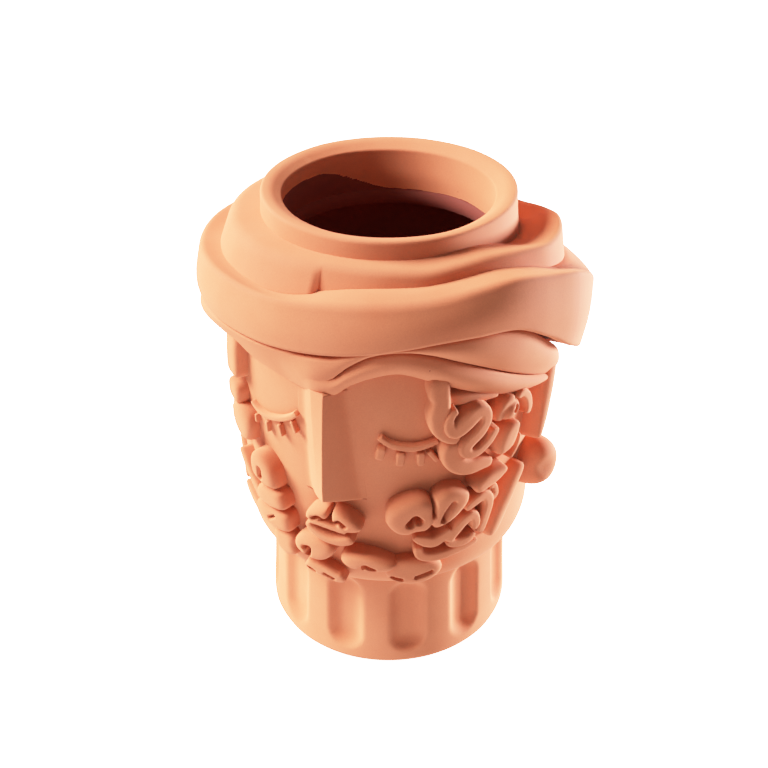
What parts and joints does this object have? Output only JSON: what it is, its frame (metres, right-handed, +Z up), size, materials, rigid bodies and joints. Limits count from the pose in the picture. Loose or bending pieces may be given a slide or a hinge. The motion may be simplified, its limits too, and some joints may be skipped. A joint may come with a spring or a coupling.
{
  "type": "face vase",
  "caption": "Unglazed clay vase shaped as a bearded head with closed eyes and a wound turban, on a fluted neck; the turban's collar is the mouth that holds flowers.",
  "frame": {"origin": "middle of the flat underside of the foot, on the surface it stands on", "axes": "+Z up along the vase's axis, -Y the way the face looks, +X the figure's left"},
  "size_m": [0.2629, 0.2566, 0.33],
  "materials": {
    "terracotta": "matt unglazed fired clay"
  },
  "bodies": {
    "root": {"cheek_curl_left": "terracotta", "cheek_curl_right": "terracotta", "cheek_lobe_right": "terracotta", "chin_curl_middle": "terracotta", "chin_curl_right": "terracotta", "chin_ribbon_left": "terracotta", "chin_ribbon_right": "terracotta", "crescent_lock_left": "terracotta", "ear_left": "terracotta", "ear_lock_left": "terracotta", "ear_right": "terracotta", "eyelashes_left": "terracotta", "eyelashes_right": "terracotta", "eyelid_left": "terracotta", "eyelid_right": "terracotta", "head_shell": "terracotta", "jaw_band_left": "terracotta", "jaw_band_right": "terracotta", "jaw_curl_left": "terracotta", "jaw_curl_right": "terracotta", "jaw_ribbon_left": "terracotta", "jaw_ribbon_right": "terracotta", "lower_knob_left": "terracotta", "lower_lip": "terracotta", "neck_drum": "terracotta", "nose": "terracotta", "rim_collar": "terracotta", "scroll_curl_left": "terracotta", "side_curl_left": "terracotta", "side_curl_right": "terracotta", "side_lock_left": "terracotta", "side_lock_right": "terracotta", "side_strand_left": "terracotta", "temple_lock_left": "terracotta", "temple_lock_lower_right": "terracotta", "temple_lock_upper_right": "terracotta", "turban_brow_roll": "terracotta", "turban_main_wrap": "terracotta", "turban_side_fold": "terracotta", "turban_upper_wrap": "terracotta", "upper_knob_left": "terracotta", "upper_lip": "terracotta"}
  },
  "joints": []
}
